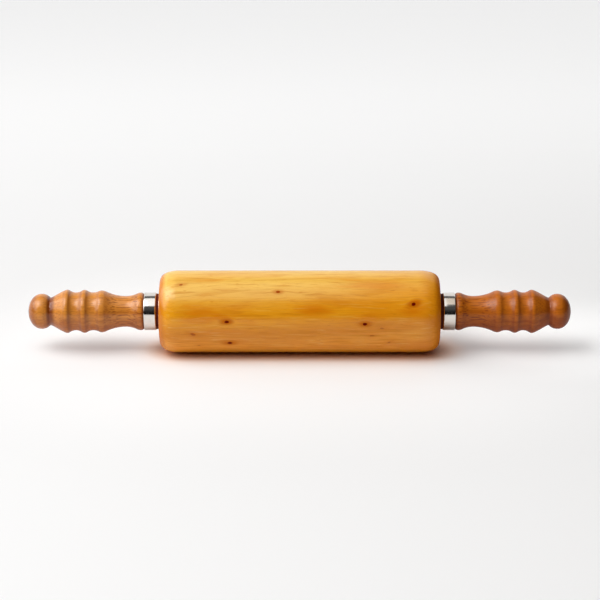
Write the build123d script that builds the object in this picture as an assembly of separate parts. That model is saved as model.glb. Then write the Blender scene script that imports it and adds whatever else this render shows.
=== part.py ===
from build123d import *
import os
from math import cos, pi, radians, sin, tan

# A baker's rolling pin: a wooden barrel that turns on two ball bearings round a steel axle,
# with a turned handle screwed on to each end of the axle.
# All lengths are millimetres. +X runs along the axle, +Z is up, and the origin is the middle of the axle.

# Barrel
barrel_length = 226.0
barrel_diameter = 66.5
barrel_easing_length = 9.0  # slight rounding that leads into each corner
barrel_easing_drop = 1.0
barrel_corner_length = 6.5
barrel_corner_depth = 7.0
mouth_chamfer = 0.5

# Ball bearing, of the common 8 x 22 x 7 size with seven balls and two steel shields
bearing_bore = 8.0
bearing_diameter = 22.0
bearing_width = 7.0
ball_space_share = 0.567  # how much of the space between bore and rim a ball takes
ball_count = 7
ball_clearance = 0.045  # between a ball and the floor of its groove
race_depth_share = 0.1335  # how deep each ring's groove is, as a share of a ball
ring_chamfer = 0.3
shield_thickness = 0.3
shield_inset = 0.2  # from the bearing's face to the shield
shield_seat_share = 0.325  # how much of the outer ring's thickness the shield's seat cuts
shield_gap = 0.3  # between the shield and the inner ring
cage_gap = 0.55  # between the ball cage and the lands of both rings
cage_wall = 0.3  # behind each ball
cage_lip = 0.9  # how far the cage reaches past the balls' centres
pocket_clearance = 0.06  # between a ball and its round pocket
bearing_inset = 1.5  # from the barrel's end face in to the bearing
bearing_relief_depth = 1.5  # hollow behind the bearing, clear of its inner ring

# Axle
axle_shoulder = 1.0  # height of the step that each bearing sits against
axle_bore_clearance = 1.0  # between the axle and the hole through the barrel
axle_seat_clearance = 0.01  # between the axle's seat and what slides on to it
thread_step = 0.1  # how far the threaded end is smaller in radius than the bearing seat
axle_reach = 32.0  # length of threaded end inside the handle
axle_chamfer = 0.8

# Dark washer and spacer sleeve between the barrel and the handle
end_gap = 0.4  # between the turning barrel and the still washer
washer_thickness = 2.6
washer_step = 0.6  # how far the washer's rim lies inside the ferrule's
washer_edge_radius = 0.4
washer_bore_clearance = 0.2
spacer_step = 0.5  # how far the spacer's rim lies inside the inner ring's

# Ferrule
ferrule_length = 9.9
ferrule_diameter = 30.0
ferrule_wall = 0.8
ferrule_edge_radius = 0.3

# Threaded insert in the handle
insert_length = 16.0
insert_wall = 1.7
insert_inset = 0.5
insert_chamfer = 0.5
barb_height = 0.4
barb_count = 4
barb_share = 0.6  # share of a barb's pitch that its slope takes

# Handle, from the ferrule out to the ball at its end
edge_step = 0.5  # how far the wood's edge at the ferrule lies inside the ferrule's rim
collar_rise = 0.3  # how far the collar's crest stands proud of the ferrule
collar_length = 2.8  # from the ferrule to the collar's crest
collar_to_waist = 12.2
waist_diameter = 25.0
waist_to_ridge = 19.6
inner_ridge_diameter = 34.0
middle_ridge_diameter = 34.9
outer_ridge_diameter = 35.2
ridge_pitch = 14.0
cove_diameter = 31.2
ridge_to_neck = 12.3
neck_diameter = 23.4
neck_to_ball = 8.3
ball_end_diameter = 28.6
ball_end_nose = 10.9  # from the ball's widest place to its tip
rod_bore_clearance = 0.3
rod_bore_spare = 2.0  # depth left beyond the axle's end
drill_point_angle = 31.0  # degrees that the drilled hole's cone leans from a flat end

# How much of the way from a crest to the next hollow the crest's own arc takes
collar_share = 0.25
ridge_share = 0.35
last_ridge_share = 0.6
ball_end_share = 0.88

# How full the ball end's nose is: 0.55 gives an ellipse, and more gives a squarer nose
nose_fullness_share = 0.58

# Radii and places that follow
barrel_radius = barrel_diameter / 2
barrel_end = barrel_length / 2
barrel_straight_end = barrel_end - barrel_corner_length - barrel_easing_length
axle_radius = bearing_bore / 2 + axle_shoulder
seat_radius = bearing_bore / 2 - axle_seat_clearance
thread_radius = seat_radius - thread_step
bearing_outer_radius = bearing_diameter / 2
bearing_outboard = barrel_end - bearing_inset
bearing_inboard = bearing_outboard - bearing_width
bearing_middle = (bearing_outboard + bearing_inboard) / 2
pitch_radius = (bearing_bore + bearing_diameter) / 4
ball_diameter = ball_space_share * (bearing_diameter - bearing_bore) / 2
ball_radius = ball_diameter / 2
groove_radius = ball_radius + ball_clearance
race_depth = race_depth_share * ball_diameter
inner_land_radius = pitch_radius - groove_radius + race_depth
outer_land_radius = pitch_radius + groove_radius - race_depth
shield_seat_radius = outer_land_radius + shield_seat_share * (bearing_outer_radius - outer_land_radius)
washer_inner_face = barrel_end + end_gap
handle_face = washer_inner_face + washer_thickness
ferrule_end = handle_face + ferrule_length
ferrule_radius = ferrule_diameter / 2
tenon_radius = ferrule_radius - ferrule_wall
washer_radius = ferrule_radius - washer_step
spacer_radius = inner_land_radius - spacer_step
insert_start = handle_face + insert_inset
insert_end = insert_start + insert_length
insert_core_radius = thread_radius + insert_wall
axle_end = handle_face + axle_reach
rod_bore_radius = thread_radius + rod_bore_clearance
rod_bore_end = axle_end + rod_bore_spare


def turned(*edges):
    """A solid turned about the X axis from a closed half outline in the XY plane."""
    return revolve(make_face(list(edges)), axis=Axis.X)


def ring_face(start, end, inner, outer):
    """The half outline of a ring from x = start to x = end, between two radii."""
    return make_face(Polyline((start, inner), (end, inner), (end, outer), (start, outer), close=True))


def ring(start, end, inner, outer):
    """A plain ring about the X axis."""
    return revolve(ring_face(start, end, inner, outer), axis=Axis.X)


def point_line(*points):
    """Straight edges through the points."""
    return [Line(a, b) for a, b in zip(points, points[1:])]


def wave(start, end, start_share):
    """Two tangent arcs from start to end, level at both, that meet at start_share of the way."""
    middle = tuple(a + start_share * (b - a) for a, b in zip(start, end))
    first = TangentArc(start, middle, tangent=(1, 0))
    return [first, TangentArc(middle, end, tangent=first % 1)]


def make_barrel():
    """The roller: rounded at both ends, bored for the axle and counterbored for a bearing at each end."""
    easing_start = (barrel_straight_end, barrel_radius)
    corner_start = (barrel_end - barrel_corner_length, barrel_radius - barrel_easing_drop)
    corner_end = (barrel_end, corner_start[1] - barrel_corner_depth)
    rounding = Spline(easing_start, corner_start, corner_end, tangents=[(1, 0), (0, -1)])
    body = turned(*point_line(easing_start, (0, barrel_radius), (0, 0), (barrel_end, 0), corner_end), rounding)
    bore_radius = axle_radius + axle_bore_clearance
    mouth = turned(
        *point_line(
            (barrel_end, 0),
            (barrel_end, bearing_outer_radius + mouth_chamfer),
            (barrel_end - mouth_chamfer, bearing_outer_radius),
            (bearing_inboard, bearing_outer_radius),
            (bearing_inboard, outer_land_radius),
            (bearing_inboard - bearing_relief_depth, outer_land_radius),
            (bearing_inboard - bearing_relief_depth, bore_radius),
            (0, bore_radius),
            (0, 0),
            (barrel_end, 0),
        )
    )
    half = body - mouth
    return half + Rot(0, 0, 180) * half


def make_axle():
    """The steel rod: a thick middle, with a bearing seat and a threaded end at each side."""
    half = turned(
        *point_line(
            (0, 0),
            (axle_end, 0),
            (axle_end, thread_radius - axle_chamfer),
            (axle_end - axle_chamfer, thread_radius),
            (handle_face, thread_radius),
            (handle_face, seat_radius),
            (bearing_inboard, seat_radius),
            (bearing_inboard, axle_radius),
            (0, axle_radius),
            (0, 0),
        )
    )
    return half + Rot(0, 0, 180) * half


def groove_section():
    """The circle that both rings' grooves are cut with, in the half outline."""
    return Pos(bearing_middle, pitch_radius) * Circle(groove_radius)


def make_inner_ring():
    """The bearing's inner ring, which the axle's shoulder and the spacer sleeve hold."""
    section = ring_face(bearing_inboard, bearing_outboard, bearing_bore / 2, inner_land_radius) - groove_section()
    bore_corners = section.vertices().group_by(Axis.Y)[0]
    return revolve(chamfer(bore_corners, ring_chamfer), axis=Axis.X)


def make_outer_ring():
    """The bearing's outer ring, pressed into the barrel, with a seat for a shield at each face."""
    seat_depth = shield_inset + shield_thickness
    section = ring_face(bearing_inboard, bearing_outboard, outer_land_radius, bearing_outer_radius)
    section = section - groove_section()
    section = section - ring_face(
        bearing_inboard, bearing_inboard + seat_depth, outer_land_radius, shield_seat_radius
    )
    section = section - ring_face(
        bearing_outboard - seat_depth, bearing_outboard, outer_land_radius, shield_seat_radius
    )
    rim_corners = section.vertices().group_by(Axis.Y)[-1]
    return revolve(chamfer(rim_corners, ring_chamfer), axis=Axis.X)


def make_shield(start):
    """A thin steel shield whose inboard face is at x = start."""
    return ring(start, start + shield_thickness, inner_land_radius + shield_gap, shield_seat_radius)


def ball_places():
    """Where the centres of the bearing's balls lie."""
    turns = [2 * pi * i / ball_count for i in range(ball_count)]
    return [(bearing_middle, pitch_radius * cos(t), pitch_radius * sin(t)) for t in turns]


def make_balls():
    """The bearing's balls, as separate solids in one group."""
    return Compound([Solid.make_sphere(ball_radius, Plane(place), angle1=-90, angle2=90) for place in ball_places()])


def make_cage():
    """The moulded crown that keeps the balls apart and snaps over them from one side."""
    pocket_radius = ball_radius + pocket_clearance
    crown = ring(
        bearing_middle - pocket_radius - cage_wall,
        bearing_middle + cage_lip,
        inner_land_radius + cage_gap,
        outer_land_radius - cage_gap,
    )
    pocket = Cylinder(pocket_radius, ball_diameter)
    return crown - [Plane(place, z_dir=(0, *place[1:])) * pocket for place in ball_places()]


def make_spacer():
    """The sleeve that clamps the inner ring and holds the washer off the barrel."""
    return ring(bearing_outboard, washer_inner_face, bearing_bore / 2, spacer_radius)


def make_washer():
    """The dark washer between the barrel and the ferrule."""
    section = ring_face(washer_inner_face, handle_face, seat_radius + washer_bore_clearance, washer_radius)
    rim_corners = section.vertices().group_by(Axis.Y)[-1]
    return revolve(fillet(rim_corners, washer_edge_radius), axis=Axis.X)


def make_ferrule():
    """The bright metal sleeve on the handle's tenon."""
    section = ring_face(handle_face, ferrule_end, tenon_radius, ferrule_radius)
    rim_corners = section.vertices().group_by(Axis.Y)[-1]
    return revolve(fillet(rim_corners, ferrule_edge_radius), axis=Axis.X)


def make_insert():
    """The barbed brass nut that the axle's end screws into, pressed into the handle."""
    barb_pitch = (insert_length - 2 * insert_chamfer) / barb_count
    outline = [(insert_start, insert_core_radius - insert_chamfer)]
    for i in range(barb_count):
        root = insert_start + insert_chamfer + i * barb_pitch
        crest = root + barb_share * barb_pitch
        outline += [(root, insert_core_radius), (crest, insert_core_radius + barb_height), (crest, insert_core_radius)]
    outline += [
        (insert_end - insert_chamfer, insert_core_radius),
        (insert_end, insert_core_radius - insert_chamfer),
        (insert_end, thread_radius),
        (insert_start, thread_radius),
        outline[0],
    ]
    return turned(*point_line(*outline))


def handle_outline():
    """The handle's outside, from the edge at the ferrule to the tip of the ball."""
    collar_x = ferrule_end + collar_length
    waist_x = collar_x + collar_to_waist
    ridge_x = waist_x + waist_to_ridge
    ridge_diameters = [inner_ridge_diameter, middle_ridge_diameter, outer_ridge_diameter]
    collar = (collar_x, ferrule_radius + collar_rise)
    waist = (waist_x, waist_diameter / 2)
    ridges = [(ridge_x + i * ridge_pitch, diameter / 2) for i, diameter in enumerate(ridge_diameters)]
    neck = (ridges[-1][0] + ridge_to_neck, neck_diameter / 2)
    ball = (neck[0] + neck_to_ball, ball_end_diameter / 2)
    edge = (ferrule_end, ferrule_radius - edge_step)

    edges = [TangentArc(collar, edge, tangent=(-1, 0))]
    edges += wave(collar, waist, collar_share)
    edges += wave(waist, ridges[0], 1 - ridge_share)
    for here, there in zip(ridges, ridges[1:]):
        cove = ((here[0] + there[0]) / 2, cove_diameter / 2)
        edges += wave(here, cove, ridge_share)
        edges += wave(cove, there, 1 - ridge_share)
    edges += wave(ridges[-1], neck, last_ridge_share)
    edges += wave(neck, ball, 1 - ball_end_share)
    tip = (ball[0] + ball_end_nose, 0)
    shoulder_pull = (ball[0] + nose_fullness_share * ball_end_nose, ball[1])
    tip_pull = (tip[0], nose_fullness_share * ball[1])
    edges.append(Bezier(ball, shoulder_pull, tip_pull, tip))
    return edges, edge, tip


def make_handle():
    """The turned handle, with a tenon for the ferrule and a stepped hole for the insert and the axle."""
    outside, edge, tip = handle_outline()
    drill_point = rod_bore_radius * tan(radians(drill_point_angle))
    inside = point_line(
        tip,
        (rod_bore_end + drill_point, 0),
        (rod_bore_end, rod_bore_radius),
        (insert_end, rod_bore_radius),
        (insert_end, insert_core_radius),
        (handle_face, insert_core_radius),
        (handle_face, tenon_radius),
        (ferrule_end, tenon_radius),
        edge,
    )
    return turned(*inside, *outside)


def side_parts():
    """Every part that the pin has once at each end, modelled at the +X end."""
    return {
        "handle": make_handle(),
        "ferrule": make_ferrule(),
        "thrust_washer": make_washer(),
        "spacer_sleeve": make_spacer(),
        "threaded_insert": make_insert(),
        "bearing_inner_ring": make_inner_ring(),
        "bearing_outer_ring": make_outer_ring(),
        "bearing_outboard_shield": make_shield(bearing_outboard - shield_inset - shield_thickness),
        "bearing_inboard_shield": make_shield(bearing_inboard + shield_inset),
        "bearing_cage": make_cage(),
        "bearing_balls": make_balls(),
    }


def main():
    """Makes every part and writes each to its own file."""
    parts = {"barrel": make_barrel(), "axle_rod": make_axle()}
    for name, shape in side_parts().items():
        parts["right_" + name] = shape
        parts["left_" + name] = Rot(0, 0, 180) * shape
    os.makedirs("parts", exist_ok=True)
    for name, shape in parts.items():
        export_step(shape, f"parts/{name}.step")


main()
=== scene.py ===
"""Looks of a baker's rolling pin: a barrel on ball bearings, with a turned handle and a ferrule at each end.

Every length is in metres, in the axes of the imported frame: +X runs along the axle towards the right-hand
handle, +Z is up, and the camera stands on the -Y side. The origin is the middle of the axle.
"""

import logging
import math
from dataclasses import dataclass, field
from enum import Enum
from typing import Iterable, NamedTuple, Optional, Union

import bpy
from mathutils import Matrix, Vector


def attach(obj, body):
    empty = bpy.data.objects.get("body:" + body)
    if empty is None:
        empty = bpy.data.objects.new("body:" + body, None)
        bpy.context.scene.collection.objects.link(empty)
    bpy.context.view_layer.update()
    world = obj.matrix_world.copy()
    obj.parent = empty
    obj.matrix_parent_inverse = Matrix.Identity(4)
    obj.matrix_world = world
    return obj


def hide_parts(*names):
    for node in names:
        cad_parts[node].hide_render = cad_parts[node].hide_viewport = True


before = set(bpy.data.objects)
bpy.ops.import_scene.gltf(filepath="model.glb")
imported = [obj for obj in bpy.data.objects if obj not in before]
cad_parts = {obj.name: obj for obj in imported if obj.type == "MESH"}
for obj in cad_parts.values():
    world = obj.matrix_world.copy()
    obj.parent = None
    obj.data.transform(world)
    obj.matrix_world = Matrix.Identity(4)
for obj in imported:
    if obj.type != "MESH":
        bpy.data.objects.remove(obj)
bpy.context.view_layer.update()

log = logging.getLogger("rolling_pin")

MM = 0.001
BARREL_RADIUS = 33.25 * MM
FLOOR_GAP = 0.02 * MM
FERRULE_START = 116.0 * MM
FERRULE_END = 125.9 * MM
MERGE_GAP = 0.002 * MM
# The handle mesh attribute that carries painted shade on flanks that face along the axle
PAINTED_FLANK_SHADE = "flank"

Pair = tuple[float, float]
# A place along the axle and the radius there
Station = Pair
Triple = tuple[float, float, float]
Colour = tuple[float, float, float]
# Where a fade starts and ends, and then what it gives there if that isn't 0 and 1
Ramp = tuple[float, ...]
Socket = bpy.types.NodeSocket
# What an input of a node takes
Feed = Union[float, tuple, Socket]


class End(Enum):
    """The two ends of the pin, as the sign of X there."""

    LEFT = -1
    RIGHT = 1

    @property
    def prefix(self) -> str:
        """What the names of this end's nodes and pieces start with."""
        return self.name.lower() + "_"


class Slot(Enum):
    """The record's material slot names; no new piece here takes them."""

    BARREL = "barrel_wood"
    HANDLE = "handle_wood"
    FERRULE = "ferrule_chrome"
    WASHER = "washer_fibre"


class Body(Enum):
    """The frame's bodies that new pieces ride on."""

    HANDLES = "handles_and_axle"
    BARREL = "barrel"


# Outlines


def wave(start: Station, end: Station, share: float, steps: int) -> list[Station]:
    """Places along two tangent arcs, level at both ends.

    Args:
        start: Place and radius where the first arc starts.
        end: Place and radius where the second arc ends.
        share: How much of the way the first arc takes.
        steps: How many places each arc gets.

    Returns:
        The places after the start, up to and with the end.
    """
    span, rise = end[0] - start[0], end[1] - start[1]
    lean = math.atan2(rise, span)
    places = []
    for corner, part, forward in ((start, share, 1), (end, 1 - share, -1)):
        reach = part * math.hypot(span, rise)
        radius = forward * reach / (2 * math.sin(lean))
        turns = [2 * lean * i / steps for i in range(1, steps + 1)]
        arc = [(corner[0] + radius * math.sin(t), corner[1] + radius * (1 - math.cos(t))) for t in turns]
        if forward > 0:
            places += arc
        else:
            places += list(reversed(arc[:-1])) + [corner]
    return places


def quarter(start: Station, end: Station, steps: int, level_first: bool) -> list[Station]:
    """Places along a quarter of an ellipse, after its start.

    Args:
        start: Place and radius where it starts.
        end: Place and radius where it ends.
        steps: How many places it gets.
        level_first: Whether it leaves its start along the axle, rather than square to it.

    Returns:
        The places after the start, up to and with the end.
    """
    places = []
    for i in range(1, steps + 1):
        turn = math.pi / 2 * i / steps
        along, across = 1 - math.cos(turn), math.sin(turn)
        if level_first:
            along, across = across, along
        places.append((start[0] + along * (end[0] - start[0]), start[1] + across * (end[1] - start[1])))
    return places


def hermite(start: Station, end: Station, leave: Station, arrive: Station, share: float) -> Station:
    """A place on a smooth curve between two places.

    Args:
        start: Where the curve starts.
        end: Where it ends.
        leave: Its pull as it leaves the start.
        arrive: Its pull as it arrives at the end.
        share: How far along it the place is, from 0 to 1.

    Returns:
        The place and radius there.
    """
    square, cube = share**2, share**3
    weights = (2 * cube - 3 * square + 1, cube - 2 * square + share, 3 * square - 2 * cube, cube - square)
    pulls = zip(start, leave, end, arrive)
    x, radius = (sum(w * v for w, v in zip(weights, values)) for values in pulls)
    return x, radius


@dataclass
class Lathe:
    """Turns a piece about the axle, ring by ring, as a turner works along a blank."""

    name: str
    corners: int = 128
    piece: Optional[bpy.types.Object] = None
    here: Station = (0.0, 0.0)

    def start(self, place: Station) -> None:
        """Adds the first ring, as a circle square to the axle.

        Args:
            place: Its place along the axle and its radius.
        """
        bpy.ops.object.select_all(action="DESELECT")
        bpy.ops.mesh.primitive_circle_add(
            vertices=self.corners,
            radius=place[1],
            fill_type="NOTHING",
            location=(place[0], 0, 0),
            rotation=(0, math.pi / 2, 0),
        )
        self.piece = bpy.context.object
        self.piece.name = self.name
        bpy.ops.object.transform_apply(location=True, rotation=True, scale=True)
        bpy.ops.object.mode_set(mode="EDIT")
        bpy.ops.mesh.select_all(action="SELECT")
        self.here = place

    def cut(self, place: Station) -> None:
        """Draws the last ring out to a new place and brings it to that radius.

        Args:
            place: The new place along the axle and the radius there.
        """
        shift, share = place[0] - self.here[0], place[1] / self.here[1]
        bpy.ops.mesh.extrude_region_move(TRANSFORM_OT_translate={"value": (shift, 0, 0)})
        bpy.ops.transform.resize(value=(1, share, share), center_override=(place[0], 0, 0))
        self.here = place

    def follow(self, places: Iterable[Station]) -> None:
        """Cuts ring after ring along an outline."""
        for place in places:
            self.cut(place)

    def tip(self, x: float) -> None:
        """Closes the last ring to a point on the axle."""
        bpy.ops.mesh.extrude_region_move(TRANSFORM_OT_translate={"value": (x - self.here[0], 0, 0)})
        bpy.ops.mesh.merge(type="CENTER")

    def finish(self, smooth_below: float) -> bpy.types.Object:
        """Merges rings that meet, turns every face outwards and shades the piece.

        Args:
            smooth_below: Edges that bend less than this, in degrees, are shaded smooth.

        Returns:
            The finished piece.
        """
        bpy.ops.mesh.select_all(action="SELECT")
        bpy.ops.mesh.remove_doubles(threshold=MERGE_GAP)
        bpy.ops.mesh.normals_make_consistent(inside=False)
        bpy.ops.object.mode_set(mode="OBJECT")
        bpy.ops.object.shade_smooth_by_angle(angle=math.radians(smooth_below))
        return self.piece


# Node trees


class Graph:
    """A node tree, with a short way to add each kind of node that the finishes use."""

    def __init__(self, owner: Union[bpy.types.Material, bpy.types.World]) -> None:
        """Empties a node tree and gets ready to fill it.

        Args:
            owner: The material or world that the tree belongs to.
        """
        owner.use_nodes = True
        self.tree = owner.node_tree
        self.tree.nodes.clear()

    def node(self, kind: str, **settings: str) -> bpy.types.Node:
        """Adds one node.

        Args:
            kind: The kind of node.
            **settings: Its options.

        Returns:
            The node.
        """
        made = self.tree.nodes.new(kind)
        for name, value in settings.items():
            setattr(made, name, value)
        return made

    def feed(self, socket: Socket, value: Feed) -> None:
        """Links an input to an output, or sets its value.

        Args:
            socket: The input.
            value: The output, or a number, vector or colour.
        """
        if isinstance(value, Socket):
            self.tree.links.new(value, socket)
        elif isinstance(value, tuple) and socket.type == "RGBA":
            socket.default_value = (*value, 1.0)
        else:
            socket.default_value = value

    def feed_all(self, sockets: Iterable[Socket], values: Iterable[Feed]) -> None:
        """Feeds several inputs in order."""
        for socket, value in zip(sockets, values):
            self.feed(socket, value)

    def feed_named(self, node: bpy.types.Node, entries: dict[str, Feed]) -> None:
        """Feeds a node's inputs by name."""
        for name, value in entries.items():
            self.feed(node.inputs[name], value)

    def position(self) -> Socket:
        """The place on the piece, in the frame's own axes."""
        return self.node("ShaderNodeTexCoord").outputs["Object"]

    def math(self, operation: str, *values: Feed) -> Socket:
        """A sum on numbers.

        Args:
            operation: The sum.
            *values: What goes into it.

        Returns:
            Its result.
        """
        made = self.node("ShaderNodeMath", operation=operation)
        self.feed_all(made.inputs, values)
        return made.outputs[0]

    def add(self, first: Feed, *others: Feed) -> Feed:
        """Numbers added up.

        Args:
            first: The first number.
            *others: The others.

        Returns:
            Their sum.
        """
        for other in others:
            first = self.math("ADD", first, other)
        return first

    def times(self, first: Feed, *others: Feed) -> Feed:
        """Numbers multiplied.

        Args:
            first: The first number.
            *others: The others.

        Returns:
            Their product.
        """
        for other in others:
            first = self.math("MULTIPLY", first, other)
        return first

    def centred(self, noise: Feed, swing: float = 1.0) -> Feed:
        """A noise's swing about its middle."""
        return self.times(self.math("SUBTRACT", noise, 0.5), swing)

    def vector(self, operation: str, *values: Feed) -> Socket:
        """A sum on vectors.

        Args:
            operation: The sum.
            *values: What goes into it.

        Returns:
            Its result, a number for a length or a dot product and otherwise a vector.
        """
        made = self.node("ShaderNodeVectorMath", operation=operation)
        self.feed_all(made.inputs, values)
        return made.outputs["Value" if operation in ("LENGTH", "DOT_PRODUCT") else "Vector"]

    def split(self, vector: Feed) -> tuple[Socket, ...]:
        """The three parts of a vector.

        Args:
            vector: The vector.

        Returns:
            Its parts along X, Y and Z.
        """
        made = self.node("ShaderNodeSeparateXYZ")
        self.feed(made.inputs[0], vector)
        return tuple(made.outputs)

    def join(self, x: Feed, y: Feed, z: Feed) -> Socket:
        """A vector from its three parts.

        Args:
            x: Its part along X.
            y: Its part along Y.
            z: Its part along Z.

        Returns:
            The vector.
        """
        made = self.node("ShaderNodeCombineXYZ")
        self.feed_all(made.inputs, (x, y, z))
        return made.outputs[0]

    def fade(self, value: Feed, start: float, end: float, low: float = 0.0, high: float = 1.0) -> Socket:
        """Goes smoothly from low to high as a value goes from start to end.

        Args:
            value: The value.
            start: Where the fade starts.
            end: Where it ends.
            low: What it gives at the start.
            high: What it gives at the end.

        Returns:
            The faded value.
        """
        made = self.node("ShaderNodeMapRange", interpolation_type="SMOOTHSTEP")
        self.feed_all(made.inputs, (value, start, end, low, high))
        return made.outputs[0]

    def mix(self, share: Feed, first: Feed, second: Feed) -> Socket:
        """Two colours mixed.

        Args:
            share: How much of the second there is.
            first: The first colour.
            second: The second colour.

        Returns:
            The mixed colour.
        """
        made = self.node("ShaderNodeMix", data_type="RGBA")
        self.feed(made.inputs["Factor"], share)
        self.feed_all([socket for socket in made.inputs if socket.type == "RGBA"], (first, second))
        return next(socket for socket in made.outputs if socket.type == "RGBA")

    def bump(self, height: Feed, depth: float, strength: float) -> Socket:
        """A surface pressed in and raised by a pattern.

        Args:
            height: The pattern.
            depth: How deep it goes.
            strength: How much of it shows.

        Returns:
            The bumped normal.
        """
        made = self.node("ShaderNodeBump")
        self.feed_named(made, {"Height": height, "Distance": depth, "Strength": strength})
        return made.outputs[0]

    def surface(self, **entries: Feed) -> None:
        """Adds the shader and the output.

        Args:
            **entries: The shader's inputs, named as on the node but with low lines for spaces.
        """
        shader = self.node("ShaderNodeBsdfPrincipled")
        self.feed_named(shader, {name.replace("_", " "): value for name, value in entries.items()})
        output = self.node("ShaderNodeOutputMaterial")
        self.tree.links.new(shader.outputs[0], output.inputs["Surface"])


def new_material(name: str) -> tuple[bpy.types.Material, Graph]:
    """An empty material and its node tree."""
    material = bpy.data.materials.new(name)
    return material, Graph(material)


@dataclass(frozen=True)
class Pattern:
    """Soft noise, with so many blots to a metre along X, Y and Z."""

    counts: Triple
    shift: Triple = (0, 0, 0)
    detail: float = 2.0
    roughness: float = 0.5
    swirl: float = 0.0

    def laid(self, graph: Graph, place: Feed, shift: Optional[Triple] = None) -> Socket:
        """The noise on a piece.

        Args:
            graph: The tree to add nodes to.
            place: The place on the piece.
            shift: Where the noise starts, in blots, if that isn't the pattern's own shift.

        Returns:
            A value from about 0 to 1.
        """
        space = graph.node("ShaderNodeMapping")
        graph.feed_named(space, {"Vector": place, "Scale": self.counts, "Location": shift or self.shift})
        noise = graph.node("ShaderNodeTexNoise")
        graph.feed_named(noise, {"Vector": space.outputs[0], "Scale": 1.0, "Detail": self.detail})
        graph.feed_named(noise, {"Roughness": self.roughness, "Distortion": self.swirl})
        return noise.outputs[0]


# The barrel's wood


@dataclass(frozen=True)
class Mark:
    """A knot, dash or stained patch in the barrel's wood.

    Its place is given along the axle and by the angle up from the side that faces the camera, and its depth
    in its own heights. The grain's lines are spread apart round it, by bend_share of the distance across it,
    which counts up to bend_limit heights. That fades out between the two values of bend_reach, where 1 is
    the mark's edge.
    """

    along: float
    angle: float
    length: float
    height: float
    strength: float
    lean: float = 0.0
    depth_heights: float = 6.0
    bend_reach: Pair = (5.5, 0.5)
    bend_share: float = 0.75
    bend_limit: float = 2.5

    def centre(self, radius: float) -> Vector:
        """Where it lies on a surface of that radius."""
        turn = math.radians(self.angle)
        return Vector((self.along, -radius * math.cos(turn), radius * math.sin(turn)))

    def spread(self, graph: Graph, position: Feed, radius: float) -> tuple[Vector, list[Socket]]:
        """A point's offset from the mark's middle, along it, across it and into the wood.

        Each offset is 1 at the mark's edge.

        Args:
            graph: The tree to add nodes to.
            position: The place on the piece.
            radius: The radius of the surface that the mark is on.

        Returns:
            The direction across the mark, and the three offsets.
        """
        centre = self.centre(radius)
        turn, lean = math.radians(self.angle), math.radians(self.lean)
        around = Vector((0, math.sin(turn), math.cos(turn)))
        along = Vector((math.cos(lean), 0, 0)) + math.sin(lean) * around
        across = Vector((-math.sin(lean), 0, 0)) + math.cos(lean) * around
        inward = centre.normalized() / (self.depth_heights * self.height)
        offset = graph.vector("SUBTRACT", position, tuple(centre))
        scales = (along / self.length, across / self.height, inward)
        return across, [graph.vector("DOT_PRODUCT", offset, tuple(scale)) for scale in scales]

    def reach(self, graph: Graph, position: Feed, radius: float, drawn: float = 1.0) -> Socket:
        """How far a point is from the mark's middle, where 1 is its edge.

        Args:
            graph: The tree to add nodes to.
            position: The place on the piece.
            radius: The radius of the surface that the mark is on.
            drawn: How far the mark is drawn out along the grain.

        Returns:
            The distance.
        """
        offsets = self.spread(graph, position, radius)[1]
        stretched = graph.vector("MULTIPLY", graph.join(*offsets), (1 / drawn, 1, 1))
        return graph.vector("LENGTH", stretched)

    def push(self, graph: Graph, position: Feed, radius: float) -> Socket:
        """How far the grain near the mark is moved so that its lines pass round it.

        Args:
            graph: The tree to add nodes to.
            position: The place on the piece.
            radius: The radius of the surface that the mark is on.

        Returns:
            The move, as a vector.
        """
        across, offsets = self.spread(graph, position, radius)
        reach = graph.vector("LENGTH", graph.join(*offsets))
        near = graph.fade(reach, *self.bend_reach, 0, -self.bend_share * self.height)
        above = graph.math("MAXIMUM", offsets[1], -self.bend_limit)
        pull = graph.times(near, graph.math("MINIMUM", above, self.bend_limit))
        return graph.vector("MULTIPLY", graph.join(pull, pull, pull), tuple(across))


@dataclass(frozen=True)
class Band:
    """A colour that the wood goes over to between two levels, from the top of the barrel down: painted light
    and shade by height.
    """

    start: float
    end: float
    colour: Colour


@dataclass(frozen=True)
class GrowthRings:
    """Broken dark lines of late wood, which arch because their pith runs outside the barrel and leans.

    They die away towards the barrel's ends.
    """

    pith: Pair = (60 * MM, -40 * MM)
    lean: float = 0.03
    pitch: float = 2.8 * MM
    rise: Ramp = (0.55, 0.90)
    fall: Ramp = (1.0, 0.94)
    breaks: Pattern = Pattern((38, 150, 150), (7.7, 3.1, 1.9), 1, 0.5)
    unbroken: Ramp = (0.42, 0.62)
    ending: Ramp = (85 * MM, 105 * MM, 0.28, 0)

    def lines(self, graph: Graph, grain: Feed) -> Feed:
        """How dark the lines are.

        Args:
            graph: The tree to add nodes to.
            grain: The place in the grain.

        Returns:
            A value from 0 to 1.
        """
        x, y, z = graph.split(grain)
        across = graph.math("SUBTRACT", y, graph.add(self.pith[0], graph.times(x, self.lean)))
        up = graph.math("SUBTRACT", z, self.pith[1])
        distance = graph.vector("LENGTH", graph.join(0.0, across, up))
        share = graph.math("FRACT", graph.math("DIVIDE", distance, self.pitch))
        late = graph.times(graph.fade(share, *self.rise), graph.fade(share, *self.fall))
        unbroken = graph.fade(self.breaks.laid(graph, grain), *self.unbroken)
        return graph.times(late, unbroken, graph.fade(graph.math("ABSOLUTE", x), *self.ending))


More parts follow.
